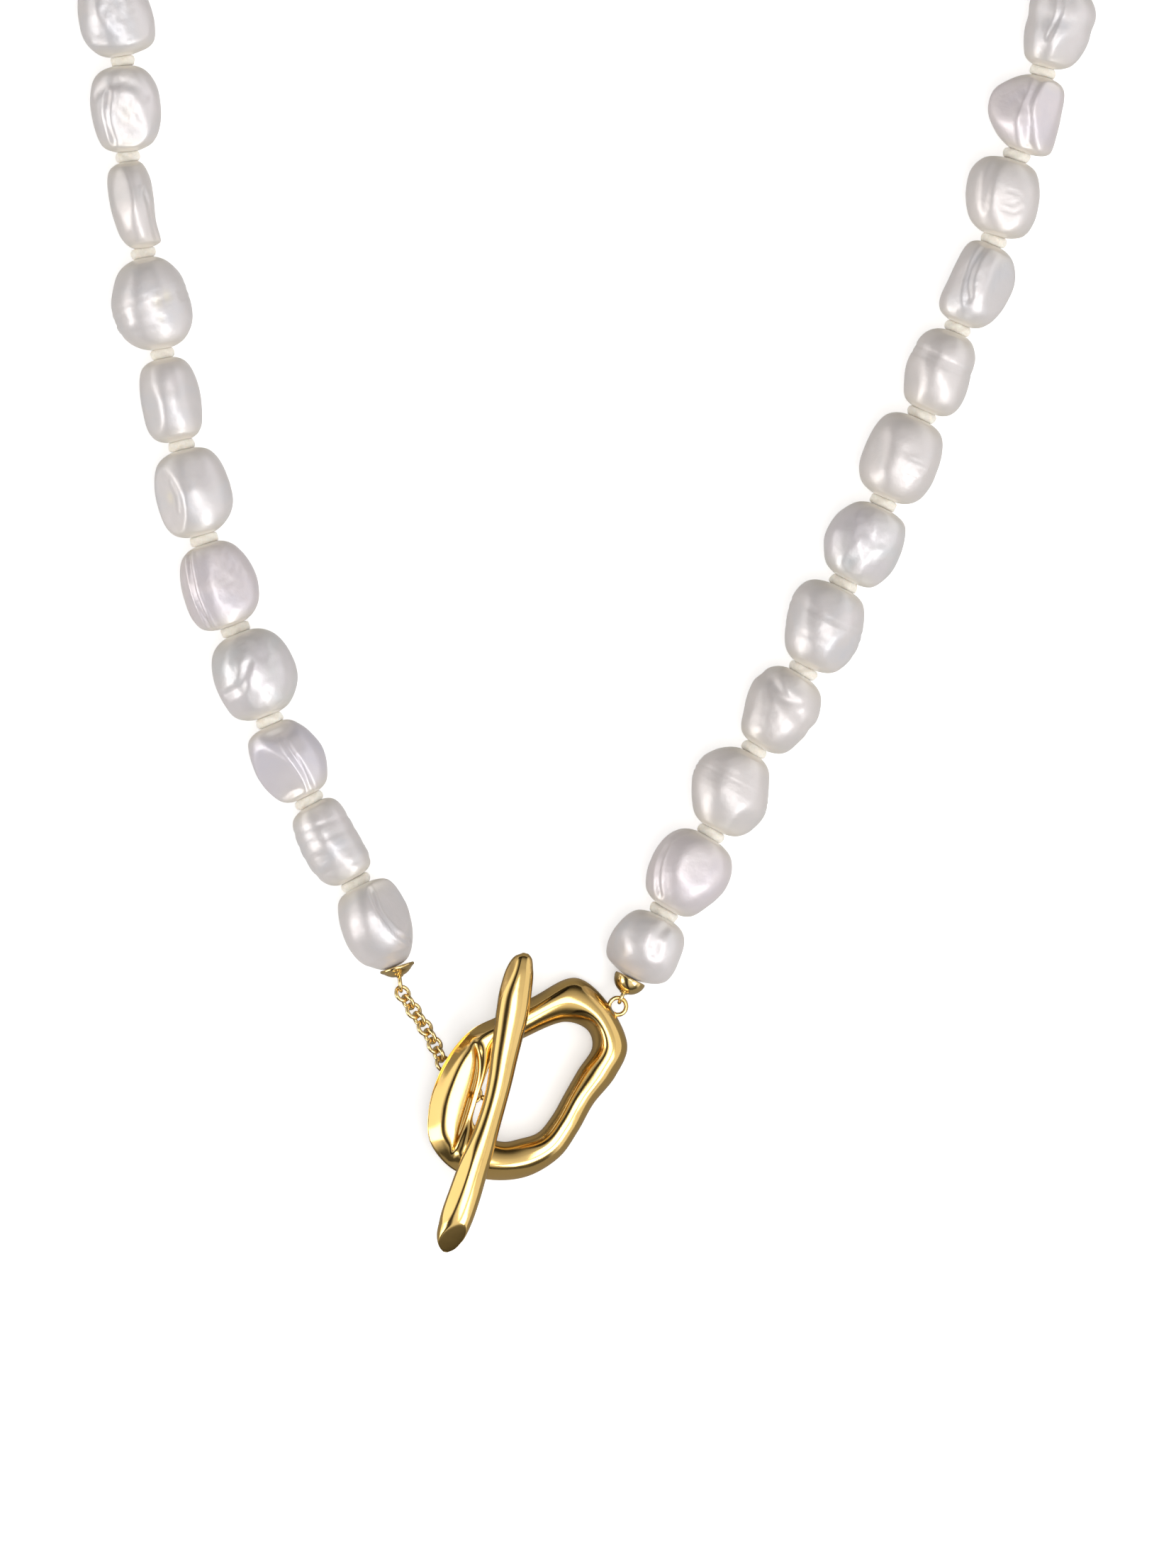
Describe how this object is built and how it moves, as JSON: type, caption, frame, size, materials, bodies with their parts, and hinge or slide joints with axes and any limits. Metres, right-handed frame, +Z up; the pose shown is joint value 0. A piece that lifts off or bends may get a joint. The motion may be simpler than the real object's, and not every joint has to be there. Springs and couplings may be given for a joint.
{
  "type": "pearl necklace",
  "caption": "Single-strand necklace of knotted baroque pearls, fastened by a sculptural gold toggle bar on a short rolo chain through an organic toggle ring.",
  "frame": {"origin": "on the surface the necklace lies on, under the centre of its bounding box", "axes": "+Y from the clasp to the nape, +X to the ring side, +Z up from the surface"},
  "size_m": [0.1096, 0.2002, 0.0078],
  "materials": {
    "pearl": "satin nacre, silvery white with faint pink and green overtones",
    "silk": "cream beading silk",
    "gold": "polished yellow gold plating"
  },
  "bodies": {
    "bead_01": {"pearl_01": "pearl", "left_end_cap": "gold"},
    "bead_02": {"pearl_02": "pearl"},
    "bead_03": {"pearl_03": "pearl"},
    "bead_04": {"pearl_04": "pearl"},
    "bead_05": {"pearl_05": "pearl"},
    "bead_06": {"pearl_06": "pearl"},
    "bead_07": {"pearl_07": "pearl"},
    "bead_08": {"pearl_08": "pearl"},
    "bead_09": {"pearl_09": "pearl"},
    "bead_10": {"pearl_10": "pearl"},
    "bead_11": {"pearl_11": "pearl"},
    "bead_12": {"pearl_12": "pearl"},
    "bead_13": {"pearl_13": "pearl"},
    "bead_14": {"pearl_14": "pearl"},
    "bead_15": {"pearl_15": "pearl"},
    "bead_16": {"pearl_16": "pearl"},
    "bead_17": {"pearl_17": "pearl"},
    "bead_18": {"pearl_18": "pearl"},
    "bead_19": {"pearl_19": "pearl"},
    "bead_20": {"pearl_20": "pearl"},
    "bead_21": {"pearl_21": "pearl", "silk_thread": "silk"},
    "bead_22": {"pearl_22": "pearl"},
    "bead_23": {"pearl_23": "pearl"},
    "bead_24": {"pearl_24": "pearl"},
    "bead_25": {"pearl_25": "pearl"},
    "bead_26": {"pearl_26": "pearl"},
    "bead_27": {"pearl_27": "pearl"},
    "bead_28": {"pearl_28": "pearl"},
    "bead_29": {"pearl_29": "pearl"},
    "bead_30": {"pearl_30": "pearl"},
    "bead_31": {"pearl_31": "pearl"},
    "bead_32": {"pearl_32": "pearl"},
    "bead_33": {"pearl_33": "pearl"},
    "bead_34": {"pearl_34": "pearl"},
    "bead_35": {"pearl_35": "pearl"},
    "bead_36": {"pearl_36": "pearl"},
    "bead_37": {"pearl_37": "pearl"},
    "bead_38": {"pearl_38": "pearl"},
    "bead_39": {"pearl_39": "pearl"},
    "bead_40": {"pearl_40": "pearl"},
    "bead_41": {"pearl_41": "pearl"},
    "bead_42": {"pearl_42": "pearl", "right_end_cap": "gold"},
    "link_01": {"chain_link_01": "gold"},
    "link_02": {"chain_link_02": "gold"},
    "link_03": {"chain_link_03": "gold"},
    "link_04": {"chain_link_04": "gold"},
    "link_05": {"chain_link_05": "gold"},
    "link_06": {"chain_link_06": "gold"},
    "link_07": {"chain_link_07": "gold"},
    "link_08": {"chain_link_08": "gold"},
    "link_09": {"chain_link_09": "gold"},
    "link_10": {"chain_link_10": "gold"},
    "link_11": {"chain_link_11": "gold"},
    "link_12": {"chain_link_12": "gold"},
    "bar": {"toggle_bar": "gold"},
    "ring": {"toggle_ring": "gold"}
  },
  "joints": [
    {"name": "left_strand_open", "type": "hinge", "parent": "bead_21", "child": "bead_20", "pos_m": [-0.00357, 0.09618, 0.0036], "axis": [0, 0, -1], "range_deg": [0, 11.44], "deforming": ["silk_thread"]},
    {"name": "knot_19", "type": "hinge", "parent": "bead_20", "child": "bead_19", "pos_m": [-0.01353, 0.09426, 0.0036], "axis": [0, 0, -1], "range_deg": [0, 11.02], "deforming": ["silk_thread"]},
    {"name": "knot_18", "type": "hinge", "parent": "bead_19", "child": "bead_18", "pos_m": [-0.02232, 0.09071, 0.0036], "axis": [0, 0, -1], "range_deg": [0, 10.8], "deforming": ["silk_thread"]},
    {"name": "knot_17", "type": "hinge", "parent": "bead_18", "child": "bead_17", "pos_m": [-0.03077, 0.08528, 0.0036], "axis": [0, 0, -1], "range_deg": [0, 10.75], "deforming": ["silk_thread"]},
    {"name": "knot_16", "type": "hinge", "parent": "bead_17", "child": "bead_16", "pos_m": [-0.03779, 0.07862, 0.0036], "axis": [0, 0, -1], "range_deg": [0, 10.77], "deforming": ["silk_thread"]},
    {"name": "knot_15", "type": "hinge", "parent": "bead_16", "child": "bead_15", "pos_m": [-0.04382, 0.07024, 0.0036], "axis": [0, 0, -1], "range_deg": [0, 10.78], "deforming": ["silk_thread"]},
    {"name": "knot_14", "type": "hinge", "parent": "bead_15", "child": "bead_14", "pos_m": [-0.04803, 0.06122, 0.0036], "axis": [0, 0, -1], "range_deg": [0, 10.24], "deforming": ["silk_thread"]},
    {"name": "knot_13", "type": "hinge", "parent": "bead_14", "child": "bead_13", "pos_m": [-0.05047, 0.05196, 0.0036], "axis": [0, 0, -1], "range_deg": [0, 10.19], "deforming": ["silk_thread"]},
    {"name": "knot_12", "type": "hinge", "parent": "bead_13", "child": "bead_12", "pos_m": [-0.05129, 0.04176, 0.0036], "axis": [0, 0, -1], "range_deg": [0, 9.91], "deforming": ["silk_thread"]},
    {"name": "knot_11", "type": "hinge", "parent": "bead_12", "child": "bead_11", "pos_m": [-0.05038, 0.03193, 0.0036], "axis": [0, 0, -1], "range_deg": [0, 4.01], "deforming": ["silk_thread"]},
    {"name": "knot_10", "type": "hinge", "parent": "bead_11", "child": "bead_10", "pos_m": [-0.04878, 0.02217, 0.0036], "axis": [0, 0, -1], "range_deg": [-6.34, 0], "deforming": ["silk_thread"]},
    {"name": "knot_09", "type": "hinge", "parent": "bead_10", "child": "bead_09", "pos_m": [-0.04827, 0.01235, 0.0036], "axis": [0, 0, -1], "range_deg": [0, 6.24], "deforming": ["silk_thread"]},
    {"name": "knot_08", "type": "hinge", "parent": "bead_09", "child": "bead_08", "pos_m": [-0.04667, 0.00246, 0.0036], "axis": [0, 0, -1], "range_deg": [0, 2.87], "deforming": ["silk_thread"]},
    {"name": "knot_07", "type": "hinge", "parent": "bead_08", "child": "bead_07", "pos_m": [-0.04471, -0.00787, 0.0036], "axis": [0, 0, -1], "range_deg": [0, 2.87], "deforming": ["silk_thread"]},
    {"name": "knot_06", "type": "hinge", "parent": "bead_07", "child": "bead_06", "pos_m": [-0.04274, -0.01725, 0.0036], "axis": [0, 0, -1], "range_deg": [0, 2.87], "deforming": ["silk_thread"]},
    {"name": "knot_05", "type": "hinge", "parent": "bead_06", "child": "bead_05", "pos_m": [-0.04042, -0.02693, 0.0036], "axis": [0, 0, -1], "range_deg": [0, 5.59], "deforming": ["silk_thread"]},
    {"name": "knot_04", "type": "hinge", "parent": "bead_05", "child": "bead_04", "pos_m": [-0.03722, -0.03616, 0.0036], "axis": [0, 0, -1], "range_deg": [0, 2.87], "deforming": ["silk_thread"]},
    {"name": "knot_03", "type": "hinge", "parent": "bead_04", "child": "bead_03", "pos_m": [-0.03372, -0.04547, 0.0036], "axis": [0, 0, -1], "range_deg": [0, 5.83], "deforming": ["silk_thread"]},
    {"name": "knot_02", "type": "hinge", "parent": "bead_03", "child": "bead_02", "pos_m": [-0.02965, -0.05369, 0.0036], "axis": [0, 0, -1], "range_deg": [0, 3.29], "deforming": ["silk_thread"]},
    {"name": "knot_01", "type": "hinge", "parent": "bead_02", "child": "bead_01", "pos_m": [-0.02485, -0.06212, 0.0033], "axis": [0, 0, -1], "range_deg": [-3.77, 0], "deforming": ["silk_thread"]},
    {"name": "right_strand_open", "type": "hinge", "parent": "bead_21", "child": "bead_22", "pos_m": [0.00638, 0.0961, 0.0036], "axis": [0, 0, 1], "range_deg": [0, 11.38], "deforming": ["silk_thread"]},
    {"name": "knot_22", "type": "hinge", "parent": "bead_22", "child": "bead_23", "pos_m": [0.01593, 0.09409, 0.0036], "axis": [0, 0, 1], "range_deg": [0, 11.68], "deforming": ["silk_thread"]},
    {"name": "knot_23", "type": "hinge", "parent": "bead_23", "child": "bead_24", "pos_m": [0.02531, 0.09, 0.0036], "axis": [0, 0, 1], "range_deg": [0, 11.65], "deforming": ["silk_thread"]},
    {"name": "knot_24", "type": "hinge", "parent": "bead_24", "child": "bead_25", "pos_m": [0.03314, 0.08449, 0.0036], "axis": [0, 0, 1], "range_deg": [0, 11.53], "deforming": ["silk_thread"]},
    {"name": "knot_25", "type": "hinge", "parent": "bead_25", "child": "bead_26", "pos_m": [0.04003, 0.07718, 0.0036], "axis": [0, 0, 1], "range_deg": [0, 11.64], "deforming": ["silk_thread"]},
    {"name": "knot_26", "type": "hinge", "parent": "bead_26", "child": "bead_27", "pos_m": [0.0452, 0.06879, 0.0036], "axis": [0, 0, 1], "range_deg": [0, 11.64], "deforming": ["silk_thread"]},
    {"name": "knot_27", "type": "hinge", "parent": "bead_27", "child": "bead_28", "pos_m": [0.04874, 0.05909, 0.0036], "axis": [0, 0, 1], "range_deg": [0, 11.25], "deforming": ["silk_thread"]},
    {"name": "knot_28", "type": "hinge", "parent": "bead_28", "child": "bead_29", "pos_m": [0.05023, 0.04954, 0.0036], "axis": [0, 0, 1], "range_deg": [0, 10.63], "deforming": ["silk_thread"]},
    {"name": "knot_29", "type": "hinge", "parent": "bead_29", "child": "bead_30", "pos_m": [0.04992, 0.03959, 0.0036], "axis": [0, 0, 1], "range_deg": [0, 9.64], "deforming": ["silk_thread"]},
    {"name": "knot_30", "type": "hinge", "parent": "bead_30", "child": "bead_31", "pos_m": [0.04812, 0.03066, 0.0036], "axis": [0, 0, 1], "range_deg": [0, 3.21], "deforming": ["silk_thread"]},
    {"name": "knot_31", "type": "hinge", "parent": "bead_31", "child": "bead_32", "pos_m": [0.04562, 0.02107, 0.0036], "axis": [0, 0, 1], "range_deg": [0, 2.82], "deforming": ["silk_thread"]},
    {"name": "knot_32", "type": "hinge", "parent": "bead_32", "child": "bead_33", "pos_m": [0.04293, 0.01249, 0.0036], "axis": [0, 0, 1], "range_deg": [0, 1.72], "deforming": ["silk_thread"]},
    {"name": "knot_33", "type": "hinge", "parent": "bead_33", "child": "bead_34", "pos_m": [0.0406, 0.00377, 0.0036], "axis": [0, 0, 1], "range_deg": [0, 7.43], "deforming": ["silk_thread"]},
    {"name": "knot_34", "type": "hinge", "parent": "bead_34", "child": "bead_35", "pos_m": [0.03689, -0.00525, 0.0036], "axis": [0, 0, 1], "range_deg": [0, 1.01], "deforming": ["silk_thread"]},
    {"name": "knot_35", "type": "hinge", "parent": "bead_35", "child": "bead_36", "pos_m": [0.03318, -0.01413, 0.0036], "axis": [0, 0, 1], "range_deg": [0, 1.01], "deforming": ["silk_thread"]},
    {"name": "knot_36", "type": "hinge", "parent": "bead_36", "child": "bead_37", "pos_m": [0.02926, -0.02314, 0.0036], "axis": [0, 0, 1], "range_deg": [0, 2.65], "deforming": ["silk_thread"]},
    {"name": "knot_37", "type": "hinge", "parent": "bead_37", "child": "bead_38", "pos_m": [0.02518, -0.03143, 0.0036], "axis": [0, 0, 1], "range_deg": [0, 1.72], "deforming": ["silk_thread"]},
    {"name": "knot_38", "type": "hinge", "parent": "bead_38", "child": "bead_39", "pos_m": [0.02104, -0.04038, 0.0036], "axis": [0, 0, 1], "range_deg": [0, 7.01], "deforming": ["silk_thread"]},
    {"name": "knot_39", "type": "hinge", "parent": "bead_39", "child": "bead_40", "pos_m": [0.01602, -0.04845, 0.0036], "axis": [0, 0, 1], "range_deg": [-4.54, 0], "deforming": ["silk_thread"]},
    {"name": "knot_40", "type": "hinge", "parent": "bead_40", "child": "bead_41", "pos_m": [0.01158, -0.05704, 0.0036], "axis": [0, 0, 1], "range_deg": [0, 3.56], "deforming": ["silk_thread"]},
    {"name": "knot_41", "type": "hinge", "parent": "bead_41", "child": "bead_42", "pos_m": [0.00671, -0.06518, 0.0033], "axis": [0, 0, 1], "range_deg": [-4.47, 0], "deforming": ["silk_thread"]},
    {"name": "chain_slack", "type": "hinge", "parent": "bead_01", "child": "link_01", "pos_m": [-0.02023, -0.07328, 0.002], "axis": [0, 0, 1], "range_deg": [-7, 7]},
    {"name": "link_hinge_02", "type": "hinge", "parent": "link_01", "child": "link_02", "pos_m": [-0.0199, -0.0738, 0.002], "axis": [0, 0, 1], "range_deg": [-14.01, 14.01]},
    {"name": "link_hinge_03", "type": "hinge", "parent": "link_02", "child": "link_03", "pos_m": [-0.01911, -0.07502, 0.002], "axis": [0, 0, 1], "range_deg": [-14.01, 14.01]},
    {"name": "link_hinge_04", "type": "hinge", "parent": "link_03", "child": "link_04", "pos_m": [-0.01877, -0.07554, 0.002], "axis": [0, 0, 1], "range_deg": [-14.01, 14.01]},
    {"name": "link_hinge_05", "type": "hinge", "parent": "link_04", "child": "link_05", "pos_m": [-0.01795, -0.07675, 0.002], "axis": [0, 0, 1], "range_deg": [-14.01, 14.01]},
    {"name": "link_hinge_06", "type": "hinge", "parent": "link_05", "child": "link_06", "pos_m": [-0.01762, -0.07728, 0.002], "axis": [0, 0, 1], "range_deg": [-14.01, 14.01]},
    {"name": "link_hinge_07", "type": "hinge", "parent": "link_06", "child": "link_07", "pos_m": [-0.0169, -0.07855, 0.002], "axis": [0, 0, 1], "range_deg": [-14.01, 14.01]},
    {"name": "link_hinge_08", "type": "hinge", "parent": "link_07", "child": "link_08", "pos_m": [-0.01664, -0.07911, 0.002], "axis": [0, 0, 1], "range_deg": [-14.01, 14.01]},
    {"name": "link_hinge_09", "type": "hinge", "parent": "link_08", "child": "link_09", "pos_m": [-0.01606, -0.08045, 0.002], "axis": [0, 0, 1], "range_deg": [-14.01, 14.01]},
    {"name": "link_hinge_10", "type": "hinge", "parent": "link_09", "child": "link_10", "pos_m": [-0.01576, -0.08099, 0.002], "axis": [0, 0, 1], "range_deg": [-14.01, 14.01]},
    {"name": "link_hinge_11", "type": "hinge", "parent": "link_10", "child": "link_11", "pos_m": [-0.01488, -0.08216, 0.002], "axis": [0, 0, 1], "range_deg": [-14.01, 14.01]},
    {"name": "link_hinge_12", "type": "hinge", "parent": "link_11", "child": "link_12", "pos_m": [-0.01445, -0.0826, 0.002], "axis": [0, 0, 1], "range_deg": [-14.01, 14.01]},
    {"name": "bar_swivel", "type": "hinge", "parent": "link_12", "child": "bar", "pos_m": [-0.0133, -0.0835, 0.002], "axis": [0, 0, 1], "range_deg": [-20, 20]},
    {"name": "ring_swing", "type": "hinge", "parent": "bead_42", "child": "ring", "pos_m": [0.00218, -0.07444, 0.002], "axis": [0, 0, 1], "range_deg": [-12, 3]}
  ],
  "couplings": [
    {"joint": "knot_19", "follows": "left_strand_open", "ratio": 0.96241},
    {"joint": "knot_18", "follows": "left_strand_open", "ratio": 0.94318},
    {"joint": "knot_17", "follows": "left_strand_open", "ratio": 0.93881},
    {"joint": "knot_16", "follows": "left_strand_open", "ratio": 0.93969},
    {"joint": "knot_15", "follows": "left_strand_open", "ratio": 0.94056},
    {"joint": "knot_14", "follows": "left_strand_open", "ratio": 0.89423},
    {"joint": "knot_13", "follows": "left_strand_open", "ratio": 0.88986},
    {"joint": "knot_12", "follows": "left_strand_open", "ratio": 0.86538},
    {"joint": "knot_11", "follows": "left_strand_open", "ratio": 0.34878},
    {"joint": "knot_10", "follows": "left_strand_open", "ratio": -0.55332},
    {"joint": "knot_09", "follows": "left_strand_open", "ratio": 0.54371},
    {"joint": "knot_08", "follows": "left_strand_open", "ratio": 0.25},
    {"joint": "knot_07", "follows": "left_strand_open", "ratio": 0.25},
    {"joint": "knot_06", "follows": "left_strand_open", "ratio": 0.25},
    {"joint": "knot_05", "follows": "left_strand_open", "ratio": 0.48776},
    {"joint": "knot_04", "follows": "left_strand_open", "ratio": 0.25},
    {"joint": "knot_03", "follows": "left_strand_open", "ratio": 0.50787},
    {"joint": "knot_02", "follows": "left_strand_open", "ratio": 0.28671},
    {"joint": "knot_01", "follows": "left_strand_open", "ratio": -0.32867},
    {"joint": "knot_22", "follows": "right_strand_open", "ratio": 1.0255},
    {"joint": "knot_23", "follows": "right_strand_open", "ratio": 1.022},
    {"joint": "knot_24", "follows": "right_strand_open", "ratio": 1.0123},
    {"joint": "knot_25", "follows": "right_strand_open", "ratio": 1.0211},
    {"joint": "knot_26", "follows": "right_strand_open", "ratio": 1.0211},
    {"joint": "knot_27", "follows": "right_strand_open", "ratio": 0.98682},
    {"joint": "knot_28", "follows": "right_strand_open", "ratio": 0.93234},
    {"joint": "knot_29", "follows": "right_strand_open", "ratio": 0.84622},
    {"joint": "knot_30", "follows": "right_strand_open", "ratio": 0.28032},
    {"joint": "knot_31", "follows": "right_strand_open", "ratio": 0.24692},
    {"joint": "knot_32", "follows": "right_strand_open", "ratio": 0.15},
    {"joint": "knot_33", "follows": "right_strand_open", "ratio": 0.65202},
    {"joint": "knot_34", "follows": "right_strand_open", "ratio": 0.08787},
    {"joint": "knot_35", "follows": "right_strand_open", "ratio": 0.08787},
    {"joint": "knot_36", "follows": "right_strand_open", "ratio": 0.23111},
    {"joint": "knot_37", "follows": "right_strand_open", "ratio": 0.15},
    {"joint": "knot_38", "follows": "right_strand_open", "ratio": 0.61511},
    {"joint": "knot_39", "follows": "right_strand_open", "ratio": -0.39719},
    {"joint": "knot_40", "follows": "right_strand_open", "ratio": 0.31195},
    {"joint": "knot_41", "follows": "right_strand_open", "ratio": -0.39104},
    {"joint": "link_hinge_02", "follows": "chain_slack", "ratio": -2},
    {"joint": "link_hinge_03", "follows": "chain_slack", "ratio": 2},
    {"joint": "link_hinge_04", "follows": "chain_slack", "ratio": -2},
    {"joint": "link_hinge_05", "follows": "chain_slack", "ratio": 2},
    {"joint": "link_hinge_06", "follows": "chain_slack", "ratio": -2},
    {"joint": "link_hinge_07", "follows": "chain_slack", "ratio": 2},
    {"joint": "link_hinge_08", "follows": "chain_slack", "ratio": -2},
    {"joint": "link_hinge_09", "follows": "chain_slack", "ratio": 2},
    {"joint": "link_hinge_10", "follows": "chain_slack", "ratio": -2},
    {"joint": "link_hinge_11", "follows": "chain_slack", "ratio": 2},
    {"joint": "link_hinge_12", "follows": "chain_slack", "ratio": -2}
  ]
}
